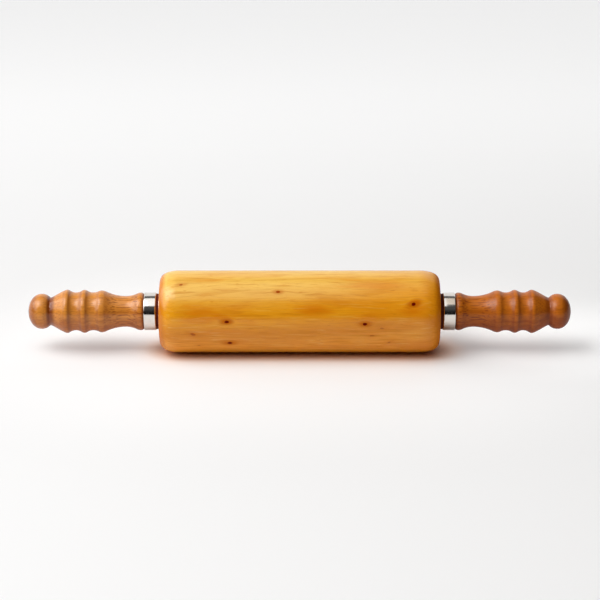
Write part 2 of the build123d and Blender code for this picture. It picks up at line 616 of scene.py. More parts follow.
@dataclass(frozen=True)
class Dashes:
    """Short brown dashes, scattered thinly."""

    spots: Pattern = Pattern((130, 900, 900), (1.7, 8.2, 3.3), 1, 0.4)
    spot_edge: Ramp = (0.66, 0.76, 0, 0.5)
    groups: Pattern = Pattern((16, 60, 60), (2.2, 5.5, 1.1), 1, 0.5)
    group_edge: Ramp = (0.48, 0.62)

    def lines(self, graph: Graph, grain: Feed) -> Feed:
        """How dark the dashes are, from 0 to 1."""
        spots = graph.fade(self.spots.laid(graph, grain), *self.spot_edge)
        return graph.times(spots, graph.fade(self.groups.laid(graph, grain), *self.group_edge))


class Figure(NamedTuple):
    """The noises that the barrel's figure is made of."""

    cloud: Socket
    broad: Socket
    streak: Socket
    fibre: Socket
    feather: Feed


@dataclass(frozen=True)
class BarrelLacquer:
    """Knotty pale wood under clear amber lacquer.

    A tint or a loss of gloss near an end is given by two depths in from that end, and its strength at each.
    """

    radius: float
    end: float
    # pale is the wood's pale streak colour, and at the top of the barrel it is also painted light
    pale: Colour = (0.93, 0.56, 0.10)
    amber: Colour = (0.74, 0.205, 0.001)
    line: Colour = (0.60, 0.17, 0.002)
    knot: Colour = (0.13, 0.002, 0.0)
    halo: Colour = (0.56, 0.115, 0.0)
    stain: Colour = (0.36, 0.050, 0.0)
    end_grain: Colour = (0.60, 0.165, 0.002)
    # Painted light and shade: bands by height make the barrel pale on top, deep amber at the front and paler
    # again underneath
    bands: tuple[Band, ...] = (
        Band(31 * MM, 9 * MM, (0.87, 0.35, 0.008)),
        Band(3 * MM, -9 * MM, (0.77, 0.265, 0.006)),
        Band(-8 * MM, -22 * MM, (0.88, 0.34, 0.020)),
    )
    sway: Pattern = Pattern((8, 9, 9), (1.3, 0.2, 0.6), 1, 0.4)
    sway_drop: float = 7 * MM
    ripple: Pattern = Pattern((45, 60, 60), (0.8, 2.2, 1.6), 1, 0.4)
    ripple_drop: float = 2.2 * MM
    cloud: Pattern = Pattern((13, 70, 70), (4.1, 2.3, 0.9), 3, 0.6, 0.3)
    broad: Pattern = Pattern((11, 190, 190), (0.3, 0.1, 0.7), 2, 0.5)
    streak: Pattern = Pattern((30, 620, 620), (5.3, 1.7, 2.9), 2, 0.6)
    fibre: Pattern = Pattern((90, 1500, 1500), (2.7, 9.1, 4.3), 3, 0.65)
    feather_streaks: float = 0.7
    feather_drop: float = 16 * MM
    right_drop: Ramp = (-30 * MM, 90 * MM, 0, 11 * MM)
    calm: Ramp = (12 * MM, 27 * MM, 1.0, 0.35)
    cloud_amber: Ramp = (0.50, 0.70, 0, 0.5)
    broad_amber: Ramp = (0.50, 0.75, 0, 0.35)
    patch_edge: Ramp = (1.2, 0.3)
    patch_feather: float = 2.4
    patch_fibre: float = 1.2
    streak_pale: Ramp = (0.46, 0.26, 0, 0.35)
    streak_line: Ramp = (0.52, 0.74, 0, 0.5)
    streak_dull: Ramp = (0.52, 0.74, 0, 0.45)
    fibre_line: Ramp = (0.50, 0.70, 0, 0.34)
    rings: GrowthRings = GrowthRings()
    dashes: Dashes = Dashes()
    right_tint: Ramp = (20 * MM, 7 * MM, 0, 0.4)
    end_tint: Ramp = (6.5 * MM, 1.5 * MM, 0, 0.9)
    right_dull: Ramp = (10 * MM, 3 * MM, 0, 0.75)
    roughness: Ramp = (0.2, 0.8, 0.5, 0.6)
    pore_share: float = -0.5
    pore_depth: float = 0.03 * MM
    pore_strength: float = 0.35
    bends_above: float = 0.6
    open_above: float = 0.75
    ragged: Pattern = Pattern((650, 650, 650), (0, 0, 0), 2, 0.6)
    core_rough: float = 1.2
    core_edge: Ramp = (1.25, 0.7)
    core_gain: float = 1.6
    halo_feather: float = 3.0
    halo_drawn: float = 1.5
    halo_edge: Ramp = (3.6, 0.9)
    halo_share: float = 0.85
    knots: tuple[Mark, ...] = (
        Mark(-58.2 * MM, 5.6, 1.7 * MM, 1.1 * MM, 1.0),
        Mark(-55.8 * MM, -29.3, 2.1 * MM, 1.2 * MM, 0.9),
        Mark(90.8 * MM, 30.1, 1.9 * MM, 1.4 * MM, 1.0, 20),
        Mark(52.0 * MM, 2.5, 1.7 * MM, 1.2 * MM, 1.0),
        Mark(-17.2 * MM, 48.0, 1.5 * MM, 1.0 * MM, 0.7),
        Mark(-94.8 * MM, 60.1, 1.6 * MM, 0.8 * MM, 0.5, 8),
        Mark(-85.1 * MM, -13.4, 2.2 * MM, 1.0 * MM, 0.45, -15),
        Mark(65.6 * MM, -3.9, 1.5 * MM, 0.7 * MM, 0.3),
        Mark(57.8 * MM, -15.6, 1.8 * MM, 0.6 * MM, 0.4),
        Mark(71.6 * MM, -28.2, 1.5 * MM, 0.8 * MM, 0.3, 30),
        Mark(-80.8 * MM, -35.1, 1.4 * MM, 0.7 * MM, 0.3),
        Mark(-33.0 * MM, 152.0, 2.0 * MM, 1.5 * MM, 1.0),
        Mark(38.0 * MM, 196.0, 2.4 * MM, 1.6 * MM, 1.0, 12),
        Mark(81.0 * MM, 121.0, 1.6 * MM, 1.1 * MM, 0.7),
        Mark(-74.0 * MM, 221.0, 1.8 * MM, 1.2 * MM, 0.8, -10),
        Mark(12.0 * MM, 258.0, 1.9 * MM, 1.3 * MM, 0.9),
    )
    patches: tuple[Mark, ...] = (
        Mark(-79.2 * MM, 19.0, 21 * MM, 5.5 * MM, 0.8, -4),
        Mark(-63.0 * MM, 13.0, 12 * MM, 4.0 * MM, 0.8, -12),
        Mark(-80.0 * MM, 7.0, 22 * MM, 3.5 * MM, 0.6, -3),
        Mark(12.2 * MM, 20.0, 17 * MM, 5.0 * MM, 0.9, 2),
        Mark(56.0 * MM, 14.7, 12 * MM, 5.0 * MM, 0.7),
        Mark(89.4 * MM, 23.0, 16 * MM, 5.5 * MM, 0.9, 6),
        Mark(60.0 * MM, 62.0, 45 * MM, 6.0 * MM, 0.5),
        Mark(-20.0 * MM, 170.0, 30 * MM, 7.0 * MM, 0.7, 5),
        Mark(62.0 * MM, 205.0, 24 * MM, 6.0 * MM, 0.7, -6),
        Mark(-66.0 * MM, 250.0, 26 * MM, 6.0 * MM, 0.6, 4),
    )

    def material(self) -> bpy.types.Material:
        """The barrel's wood: streaked grain, amber patches, growth rings, dashes and knots, under lacquer.

        Returns:
            The material.
        """
        material, graph = new_material("barrel_wood_lacquered")
        position = graph.position()
        grain = self.bent(graph, position)
        figure = self.figure(graph, grain)
        colour = self.streaked(graph, figure, self.ground(graph, grain, figure))
        lines = graph.math("MAXIMUM", self.rings.lines(graph, grain), self.dashes.lines(graph, grain))
        colour = graph.mix(lines, colour, self.line)
        colour, dull = self.add_knots(graph, position, figure.feather, colour)
        streaks = graph.fade(figure.streak, *self.streak_dull)
        dull = graph.math("MAXIMUM", dull, graph.math("MAXIMUM", lines, streaks))
        x = graph.split(grain)[0]
        colour = graph.mix(self.near_end(graph, x, self.right_tint), colour, self.amber)
        at_ends = self.near_end(graph, graph.math("ABSOLUTE", x), self.end_tint)
        colour = graph.mix(at_ends, colour, self.end_grain)
        pores = graph.times(graph.add(figure.fibre, figure.streak), self.pore_share)
        graph.surface(
            Base_Color=colour,
            Roughness=graph.fade(figure.streak, *self.roughness),
            IOR=1.5,
            Specular_IOR_Level=0.0,
            Coat_Weight=graph.math("SUBTRACT", 1.0, dull),
            Coat_Roughness=0.20,
            Coat_IOR=1.48,
            Normal=graph.bump(pores, self.pore_depth, self.pore_strength),
        )
        return material

    def bent(self, graph: Graph, position: Feed) -> Socket:
        """The place in the grain, which sways slowly and bends round the darker knots.

        Args:
            graph: The tree to add nodes to.
            position: The place on the piece.

        Returns:
            The place in straight grain.
        """
        sway = graph.centred(self.sway.laid(graph, position), self.sway_drop)
        drop = graph.add(sway, graph.centred(self.ripple.laid(graph, position), self.ripple_drop))
        place = graph.vector("ADD", position, graph.join(0.0, drop, drop))
        for mark in self.knots:
            if mark.strength > self.bends_above:
                place = graph.vector("ADD", place, mark.push(graph, position, self.radius))
        return place

    def figure(self, graph: Graph, grain: Feed) -> Figure:
        """The noises that the figure is made of.

        Args:
            graph: The tree to add nodes to.
            grain: The place in the grain.

        Returns:
            The noises, and a feather of cloud and streaks about 0.
        """
        patterns = (self.cloud, self.broad, self.streak, self.fibre)
        cloud, broad, streak, fibre = (pattern.laid(graph, grain) for pattern in patterns)
        feather = graph.add(graph.centred(cloud), graph.centred(streak, self.feather_streaks))
        return Figure(cloud, broad, streak, fibre, feather)

    def ground(self, graph: Graph, grain: Feed, figure: Figure) -> Feed:
        """The wood's colour in bands of painted light and shade from top to bottom, with its amber patches.

        Args:
            graph: The tree to add nodes to.
            grain: The place in the grain.
            figure: The figure's noises.

        Returns:
            The colour.
        """
        x, _, z = graph.split(grain)
        level = graph.add(z, graph.times(figure.feather, self.feather_drop))
        level = graph.math("SUBTRACT", level, graph.fade(x, *self.right_drop))
        # Painted light and shade: the colour bands by height, starting from the pale top
        colour = self.pale
        for band in self.bands:
            colour = graph.mix(graph.fade(level, band.start, band.end), colour, band.colour)
        calm = graph.fade(z, *self.calm)
        clouds = graph.times(graph.fade(figure.cloud, *self.cloud_amber), calm)
        colour = graph.mix(clouds, colour, self.amber)
        feather = graph.times(figure.feather, self.patch_feather)
        flame = graph.add(feather, graph.centred(figure.fibre, self.patch_fibre))
        for patch in self.patches:
            reach = graph.add(patch.reach(graph, grain, self.radius), flame)
            colour = graph.mix(graph.fade(reach, *self.patch_edge, 0, patch.strength), colour, self.amber)
        stripes = graph.times(graph.fade(figure.broad, *self.broad_amber), calm)
        return graph.mix(stripes, colour, self.amber)

    def streaked(self, graph: Graph, figure: Figure, colour: Feed) -> Feed:
        """Lays pale and dark streaks and fibres over a colour.

        Args:
            graph: The tree to add nodes to.
            figure: The figure's noises.
            colour: The wood's colour without them.

        Returns:
            The colour with them.
        """
        colour = graph.mix(graph.fade(figure.streak, *self.streak_pale), colour, self.pale)
        colour = graph.mix(graph.fade(figure.streak, *self.streak_line), colour, self.line)
        return graph.mix(graph.fade(figure.fibre, *self.fibre_line), colour, self.line)

    def near_end(self, graph: Graph, x: Feed, ramp: Ramp) -> Socket:
        """A strength that sets in near the right end, or near both if X has no sign."""
        return graph.fade(x, self.end - ramp[0], self.end - ramp[1], *ramp[2:])

    def add_knots(self, graph: Graph, position: Feed, feather: Feed, colour: Feed) -> tuple[Feed, Feed]:
        """Lays each knot's warm halo and its dark core over the wood, the halo drawn out along the grain.

        Args:
            graph: The tree to add nodes to.
            position: The place on the piece.
            feather: The noise that frays the halos.
            colour: The wood's colour without knots.

        Returns:
            The colour with knots, and how far the lacquer's gloss is lost on them and at the right end.
        """
        dull = self.near_end(graph, graph.split(position)[0], self.right_dull)
        rough = graph.centred(self.ragged.laid(graph, position), self.core_rough)
        frayed = graph.times(feather, self.halo_feather)
        for mark in self.knots:
            reach = mark.reach(graph, position, self.radius)
            drawn = graph.add(mark.reach(graph, position, self.radius, self.halo_drawn), frayed)
            halo = graph.fade(drawn, *self.halo_edge, 0, self.halo_share * mark.strength)
            dark = min(1.0, self.core_gain * mark.strength)
            core = graph.fade(graph.add(reach, rough), *self.core_edge, 0, dark)
            colour = graph.mix(halo, colour, self.halo)
            colour = graph.mix(core, colour, self.knot if mark.strength > self.open_above else self.stain)
            dull = graph.math("MAXIMUM", dull, graph.math("MAXIMUM", core, halo))
        return colour, dull


# The handles' wood


@dataclass(frozen=True)
class HandleHardwood:
    """Reddish-brown turned hardwood with fine dark pores, under satin lacquer.

    It is darker on flanks that face along the axle, and darkest in the crease beside the ball: painted
    shade. Its upper side is made lighter: painted light.
    """

    light: Colour
    deep: Colour
    dark: Colour
    gloss: float
    # Strength of the painted shade in the crease beside the ball
    crease: float
    shift: Triple
    bands: Pattern = Pattern((14, 150, 150), detail=3, roughness=0.55, swirl=0.3)
    dashes: Pattern = Pattern((50, 1050, 1050), detail=1, roughness=0.4)
    fibre: Pattern = Pattern((130, 2200, 2200), detail=3, roughness=0.65)
    # Painted light: how much lighter the wood is made towards the top of the handle
    painted_light_rise: float = 24.0
    wood_and_light_edge: Ramp = (0.25, 0.75)
    pore_edge: Ramp = (0.50, 0.66)
    pore_along: Ramp = (148 * MM, 160 * MM, 0.75, 0.3)
    fibre_dark: Ramp = (0.45, 0.75, 0, 0.3)
    flank_dark: Ramp = (0.15, 0.65, 0, 0.65)
    cone_start: Ramp = (189 * MM, 193 * MM)
    cone_end: Ramp = (207 * MM, 204 * MM)
    cone_flank: Ramp = (0.0, 1.0, 1.0, 0.45)
    crease_edge: Ramp = (13.9 * MM, 11.8 * MM)
    roughness: Ramp = (0.3, 0.8, 0.42, 0.6)
    pore_depth: float = 0.03 * MM
    pore_strength: float = -0.5

    def material(self, name: str) -> bpy.types.Material:
        """The wood of one handle.

        Args:
            name: The material's name.

        Returns:
            The material.
        """
        material, graph = new_material(name)
        place = graph.position()
        x, y, z = graph.split(place)
        out = graph.math("ABSOLUTE", x)
        patterns = (self.bands, self.dashes, self.fibre)
        bands, dashes, fibre = (pattern.laid(graph, place, self.shift) for pattern in patterns)
        # The wood's bands, with painted light that makes the top of the handle lighter
        wood_and_painted_light = graph.math("SUBTRACT", bands, graph.times(z, self.painted_light_rise))
        pore = graph.times(graph.fade(dashes, *self.pore_edge), graph.fade(out, *self.pore_along))
        # Painted shade on the flanks that face along the axle, weaker on the cone
        on_cone = graph.times(graph.fade(out, *self.cone_start), graph.fade(out, *self.cone_end))
        facing = graph.node("ShaderNodeAttribute", attribute_name=PAINTED_FLANK_SHADE).outputs["Fac"]
        flank = graph.times(facing, graph.fade(on_cone, *self.cone_flank))
        radius = graph.vector("LENGTH", graph.join(0.0, y, z))
        # Painted shade in the crease beside the ball
        crease = graph.times(graph.fade(radius, *self.crease_edge, 0, self.crease), on_cone)

        colour = graph.mix(graph.fade(wood_and_painted_light, *self.wood_and_light_edge), self.light, self.deep)
        colour = graph.mix(graph.fade(flank, *self.flank_dark), colour, self.dark)
        colour = graph.mix(pore, colour, self.dark)
        colour = graph.mix(graph.fade(fibre, *self.fibre_dark), colour, self.dark)
        colour = graph.mix(crease, colour, self.dark)
        graph.surface(
            Base_Color=colour,
            Roughness=graph.fade(fibre, *self.roughness),
            IOR=1.5,
            Specular_IOR_Level=0.1,
            Coat_Weight=self.gloss,
            Coat_Roughness=0.20,
            Coat_IOR=1.5,
            Normal=graph.bump(graph.add(pore, fibre), self.pore_depth, self.pore_strength),
        )
        return material


HANDLE_WOODS = {
    End.LEFT: HandleHardwood(
        light=(0.74, 0.275, 0.035),
        deep=(0.47, 0.125, 0.007),
        dark=(0.25, 0.052, 0.002),
        gloss=0.9,
        crease=1.0,
        shift=(0.37, 0.9, 0.2),
    ),
    End.RIGHT: HandleHardwood(
        light=(0.55, 0.145, 0.006),
        deep=(0.34, 0.068, 0.002),
        dark=(0.19, 0.030, 0.001),
        gloss=0.45,
        crease=0.65,
        shift=(2.1, 0.4, 1.3),
    ),
}


# Metals and plastics


@dataclass(frozen=True)
class Metal:
    """A metal that carries the marks of how it was made, with so many marks to a metre each way."""

    name: str
    colour: Colour
    shade: Colour
    roughness: Pair
    marks: Triple
    depth: float
    stain: Pattern = Pattern((160, 160, 160), (3, 1, 2), 2, 0.5)
    stain_edge: Ramp = (0.45, 0.75)
    rough_edge: Ramp = (0.1, 0.4)
    mark_strength: float = 0.3

    def material(self) -> bpy.types.Material:
        """Metal with tool marks in its colour, gloss and surface.

        Returns:
            The material.
        """
        material, graph = new_material(self.name)
        place = graph.position()
        marks = Pattern(self.marks, detail=3, roughness=0.6).laid(graph, place)
        stain = self.stain.laid(graph, place)
        graph.surface(
            Base_Color=graph.mix(graph.fade(stain, *self.stain_edge), self.colour, self.shade),
            Metallic=1.0,
            Roughness=graph.fade(graph.times(marks, stain), *self.rough_edge, *self.roughness),
            Normal=graph.bump(marks, self.depth, self.mark_strength),
        )
        return material


@dataclass(frozen=True)
class Moulded:
    """A plastic or fibre with a faint grain of its own, with so many grains to a metre."""

    name: str
    colour: Colour
    shade: Colour
    roughness: Pair
    grain: float
    depth: float
    grain_edge: Ramp = (0.35, 0.7)
    rough_edge: Ramp = (0.3, 0.7)
    grain_strength: float = 0.4

    def material(self) -> bpy.types.Material:
        """A matt finish with a little mottling.

        Returns:
            The material.
        """
        material, graph = new_material(self.name)
        grain = Pattern((self.grain,) * 3, detail=3, roughness=0.6).laid(graph, graph.position())
        graph.surface(
            Base_Color=graph.mix(graph.fade(grain, *self.grain_edge), self.colour, self.shade),
            Roughness=graph.fade(grain, *self.rough_edge, *self.roughness),
            IOR=1.5,
            Specular_IOR_Level=0.2,
            Normal=graph.bump(grain, self.depth, self.grain_strength),
        )
        return material


CHROME = Metal(
    name="ferrule_chrome_polished",
    colour=(0.87, 0.825, 0.77),
    shade=(0.80, 0.755, 0.70),
    roughness=(0.10, 0.15),
    marks=(900, 60, 60),
    depth=0.004 * MM,
)
ZINCED = Metal(
    name="axle_steel_zinced",
    colour=(0.55, 0.55, 0.56),
    shade=(0.44, 0.43, 0.42),
    roughness=(0.28, 0.42),
    marks=(2600, 90, 90),
    depth=0.01 * MM,
)
GROUND = Metal(
    name="bearing_steel_ground",
    colour=(0.62, 0.62, 0.63),
    shade=(0.52, 0.52, 0.53),
    roughness=(0.12, 0.22),
    marks=(2400, 120, 120),
    depth=0.004 * MM,
)
PRESSED = Metal(
    name="shield_steel_pressed",
    colour=(0.50, 0.50, 0.50),
    shade=(0.40, 0.39, 0.38),
    roughness=(0.25, 0.4),
    marks=(300, 900, 900),
    depth=0.01 * MM,
)
BRASS = Metal(
    name="insert_brass_turned",
    colour=(0.72, 0.52, 0.20),
    shade=(0.55, 0.37, 0.12),
    roughness=(0.2, 0.38),
    marks=(2200, 80, 80),
    depth=0.01 * MM,
)
FIBRE = Moulded(
    name="washer_fibre_dark",
    colour=(0.11, 0.012, 0.001),
    shade=(0.07, 0.006, 0.001),
    roughness=(0.7, 0.85),
    grain=1400,
    depth=0.03 * MM,
)
NYLON = Moulded(
    name="cage_nylon_natural",
    colour=(0.75, 0.72, 0.62),
    shade=(0.66, 0.62, 0.5),
    roughness=(0.4, 0.55),
    grain=900,
    depth=0.02 * MM,
)


# Pieces


def dress(piece: bpy.types.Object, material: bpy.types.Material, body: Body, node: str) -> None:
    """Gives a new piece its finish and ties it to the frame.

    Args:
        piece: The new piece.
        material: Its finish.
        body: The body that it moves with.
        node: The CAD node that it stands for.
    """
    piece.data.materials.append(material)
    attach(piece, body.value)
    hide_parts(node)
    faces = len(piece.data.polygons)
    log.info("%s: %d faces, rides on %s, stands for %s", piece.name, faces, body.value, node)


def dress_node(name: str, material: bpy.types.Material) -> None:
    """Gives a CAD node that stays its finish.

    Args:
        name: The node's name.
        material: Its finish.
    """
    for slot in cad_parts[name].material_slots:
        slot.material = material
    log.info("%s keeps its CAD form, with the finish %s", name, material.name)


@dataclass
class Barrel:
    """The roller: lacquered wood, rounded at both ends, with a bearing let into each end."""

    radius: float = BARREL_RADIUS
    end: float = 113.0 * MM
    straight_end: float = 97.5 * MM
    easing_drop: float = 1.0 * MM
    corner_length: float = 6.5 * MM
    corner_depth: float = 7.0 * MM
    mouth_radius: float = 11.5 * MM
    seat_radius: float = 11.0 * MM
    seat_depth: float = 8.5 * MM
    bore_radius: float = 6.0 * MM
    corners: int = 192
    edge_steps: int = 20
    smooth_below: float = 32

    def rounding(self) -> list[Station]:
        """The corner at the right-hand end.

        Returns:
            The places after the end of the straight stretch, up to and with the edge of the end face.
        """
        corner_x, corner_r = self.end - self.corner_length, self.radius - self.easing_drop
        start, end = (self.straight_end, self.radius), (self.end, corner_r - self.corner_depth)
        reach = math.hypot(corner_x - self.straight_end, self.easing_drop)
        reach += math.hypot(self.end - corner_x, self.corner_depth)
        shares = [i / self.edge_steps for i in range(1, self.edge_steps + 1)]
        return [hermite(start, end, (reach, 0), (0, -reach), share) for share in shares]

    def outline(self) -> list[Station]:
        """The outside and both mouths.

        Returns:
            The places from the left seat's bottom round to the right one's.
        """
        bottom = self.end - self.seat_depth
        chamfer = self.mouth_radius - self.seat_radius
        right = [(self.straight_end, self.radius)] + self.rounding()
        right += [(self.end, self.mouth_radius), (self.end - chamfer, self.seat_radius)]
        right += [(bottom, self.seat_radius), (bottom, self.bore_radius)]
        return [(-x, radius) for x, radius in reversed(right)] + right

    def build(self) -> None:
        """Turns the barrel, closing it through the axle's bore, and dresses it."""
        outline = self.outline()
        lathe = Lathe("barrel_turned", self.corners)
        lathe.start(outline[0])
        lathe.follow(outline[1:])
        lathe.cut(outline[0])
        piece = lathe.finish(self.smooth_below)
        wood = BarrelLacquer(self.radius, self.end).material()
        dress(piece, wood, Body.BARREL, "barrel")


@dataclass
class Grip:
    """A turned handle, seen from the ferrule out to the ball at its end."""

    end: End
    face: float = FERRULE_START
    ferrule_end: float = FERRULE_END
    tenon_radius: float = 14.2 * MM
    bore_radius: float = 5.6 * MM
    edge_radius: float = 13.0 * MM
    collar: Station = (128.7 * MM, 15.3 * MM)
    waist: Station = (140.9 * MM, 12.5 * MM)
    ridges: tuple[Station, ...] = (
        (160.5 * MM, 17.0 * MM),
        (174.5 * MM, 17.45 * MM),
        (188.5 * MM, 17.6 * MM),
    )
    cove_radius: float = 15.4 * MM
    neck: Station = (201.8 * MM, 11.3 * MM)
    ball: Station = (209.1 * MM, 14.3 * MM)
    tip: float = 220.0 * MM
    collar_share: float = 0.25
    waist_ridge_share: float = 0.18
    ridge_share: float = 0.32
    cone_pull: Pair = (0.60, 0.30)
    ball_share: float = 0.88
    nose_fullness: float = 0.58
    steps: int = 7
    nose_steps: int = 18
    smooth_below: float = 35

    def cone(self) -> list[Station]:
        """The nearly straight fall from the last ridge into the neck.

        Returns:
            The places after the ridge, up to and with the neck.
        """
        span = self.neck[0] - self.ridges[-1][0]
        leave, arrive = ((pull * span, 0) for pull in self.cone_pull)
        shares = [i / (2 * self.steps) for i in range(1, 2 * self.steps + 1)]
        return [hermite(self.ridges[-1], self.neck, leave, arrive, share) for share in shares]

    def nose(self) -> list[Station]:
        """The rounded end of the ball, short of its very tip.

        Returns:
            The places after the ball's widest.
        """
        leave = (3 * self.nose_fullness * (self.tip - self.ball[0]), 0)
        arrive = (0, -3 * self.nose_fullness * self.ball[1])
        shares = [math.sin(math.pi / 2 * i / self.nose_steps) for i in range(1, self.nose_steps)]
        return [hermite(self.ball, (self.tip, 0), leave, arrive, share) for share in shares]

    def outline(self) -> list[Station]:
        """The whole outline at the right-hand end.

        Returns:
            The places from the tenon's face, over the tenon, to near the tip.
        """
        edge = (self.ferrule_end, self.edge_radius)
        places = [(self.face, self.tenon_radius), (self.ferrule_end, self.tenon_radius), edge]
        places += quarter(edge, self.collar, self.steps, False)
        places += wave(self.collar, self.waist, self.collar_share, self.steps)
        places += wave(self.waist, self.ridges[0], 1 - self.waist_ridge_share, self.steps)
        for here, there in zip(self.ridges, self.ridges[1:]):
            cove = ((here[0] + there[0]) / 2, self.cove_radius)
            places += wave(here, cove, self.ridge_share, self.steps)
            places += wave(cove, there, 1 - self.ridge_share, self.steps)
        places += self.cone()
        places += wave(self.neck, self.ball, 1 - self.ball_share, self.steps)
        return places + self.nose()

    def build(self) -> None:
        """Turns the handle at its own end of the pin and dresses it.

        An attribute of the mesh notes how far each place faces along the axle, for the painted shade on the
        flanks.
        """
        side, prefix = self.end.value, self.end.prefix
        lathe = Lathe(f"{prefix}handle_turned")
        lathe.start((side * self.face, self.bore_radius))
        lathe.follow((side * x, radius) for x, radius in self.outline())
        lathe.tip(side * self.tip)
        piece = lathe.finish(self.smooth_below)
        flank = piece.data.attributes.new(PAINTED_FLANK_SHADE, "FLOAT", "POINT")
        flank.data.foreach_set("value", [abs(corner.normal.x) for corner in piece.data.vertices])
        wood = HANDLE_WOODS[self.end].material(f"{prefix}handle_wood_satin")
        dress(piece, wood, Body.HANDLES, f"{prefix}handle")


@dataclass
class Ring:
    """A closed ring round the axle with rounded outer edges, given at the right-hand end."""

    name: str
    start: float
    end: float
    bore: float
    rim: float
    edge: float
    edge_steps: int = 5
    smooth_below: float = 40

    def turned(self, side: int) -> bpy.types.Object:
        """Turns the ring.

        Args:
            side: The sign of X at the end where it goes.

        Returns:
            The ring.
        """
        shoulder = self.rim - self.edge
        first, last = self.start + self.edge, self.end - self.edge
        places = [(self.start, shoulder)]
        places += quarter((self.start, shoulder), (first, self.rim), self.edge_steps, False)
        places += [(last, self.rim)]
        places += quarter((last, self.rim), (self.end, shoulder), self.edge_steps, True)
        places += [(self.end, self.bore), (self.start, self.bore)]
        lathe = Lathe(self.name)
        lathe.start((side * self.start, self.bore))
        lathe.follow((side * x, radius) for x, radius in places)
        return lathe.finish(self.smooth_below)


@dataclass
class FerruleAndWasher:
    """The bright sleeve on the handle's tenon, and the dark washer between it and the barrel."""

    end: End
    chrome: bpy.types.Material
    fibre: bpy.types.Material
    ferrule_start: float = FERRULE_START
    ferrule_end: float = FERRULE_END
    ferrule_radius: float = 15.25 * MM
    ferrule_wall: float = 0.8 * MM
    ferrule_edge: float = 0.8 * MM
    washer_start: float = 113.4 * MM
    washer_radius: float = 14.4 * MM
    washer_bore: float = 4.19 * MM
    washer_edge: float = 0.4 * MM

    def ferrule(self) -> Ring:
        """The sleeve."""
        name, bore = f"{self.end.prefix}ferrule_polished", self.ferrule_radius - self.ferrule_wall
        return Ring(name, self.ferrule_start, self.ferrule_end, bore, self.ferrule_radius, self.ferrule_edge)

    def washer(self) -> Ring:
        """The washer, which lies against the sleeve."""
        name, end = f"{self.end.prefix}washer_dark", self.ferrule_start
        return Ring(name, self.washer_start, end, self.washer_bore, self.washer_radius, self.washer_edge)

    def build(self) -> None:
        """Turns and dresses both rings."""
        side, prefix = self.end.value, self.end.prefix
        ferrule = self.ferrule().turned(side)
        dress(ferrule, self.chrome, Body.HANDLES, f"{prefix}ferrule")
        washer = self.washer().turned(side)
        dress(washer, self.fibre, Body.HANDLES, f"{prefix}thrust_washer")


@dataclass
class Bearings:
    """The axle and what is sealed inside the pin, which keep their CAD forms."""

    axle: Metal = ZINCED
    finishes: dict[str, Union[Metal, Moulded]] = field(
        default_factory=lambda: {
            "spacer_sleeve": ZINCED,
            "threaded_insert": BRASS,
            "bearing_inner_ring": GROUND,
            "bearing_outer_ring": GROUND,
            "bearing_balls": GROUND,
            "bearing_inboard_shield": PRESSED,
            "bearing_outboard_shield": PRESSED,
            "bearing_cage": NYLON,
        }
    )

    def build(self) -> None:
        """Dresses every node that no new piece replaces."""
        used = dict.fromkeys((self.axle, *self.finishes.values()))
        made = {finish.name: finish.material() for finish in used}
        dress_node("axle_rod", made[self.axle.name])
        for end in End:
            for name, finish in self.finishes.items():
                dress_node(end.prefix + name, made[finish.name])


# Studio


@dataclass(frozen=True)
class Panel:
    """A lit stretch of the studio's walls, given by direction from the pin, in degrees.

    Azimuth 0 is the camera's side and 90 the right. Its edges fade out over the soft angle.
    """

    azimuth: float
    half_width: float
    lowest: float
    highest: float
    level: float
    soft: float = 12.0
    least_fade: float = 0.01

    def light(self, graph: Graph, x: Feed, y: Feed, height: Feed) -> Feed:
        """How brightly a direction is lit by this panel.

        Args:
            graph: The world's tree.
            x: The level direction's part along X.
            y: The level direction's part along Y.
            height: The direction's height above the horizon, in degrees.

        Returns:
            The brightness.
        """
        turn = math.radians(self.azimuth)
        facing = graph.add(graph.times(x, math.sin(turn)), graph.times(y, -math.cos(turn)))
        edge = math.cos(math.radians(self.half_width))
        outside = math.cos(math.radians(min(180, self.half_width + self.soft))) - self.least_fade
        sideways = graph.fade(facing, outside, edge)
        above = graph.fade(height, self.lowest - self.soft, self.lowest)
        below = graph.fade(height, self.highest + self.soft, self.highest, 0, self.level)
        return graph.times(sideways, above, below)


@dataclass(frozen=True)
class Softbox:
    """A flat lamp that hangs level over the pin, of an even brightness."""

    name: str
    place: Triple
    size: Pair
    level: float
    tint: Colour = (1.0, 1.0, 1.0)

    def build(self) -> None:
        """Hangs the lamp, with the power that gives its face that brightness."""
        bpy.ops.object.light_add(type="AREA", location=self.place)
        lamp = bpy.context.object
        lamp.name = self.name
        lamp.data.shape = "RECTANGLE"
        lamp.data.size, lamp.data.size_y = self.size
        lamp.data.color = self.tint
        lamp.data.energy = self.level * math.pi * self.size[0] * self.size[1]


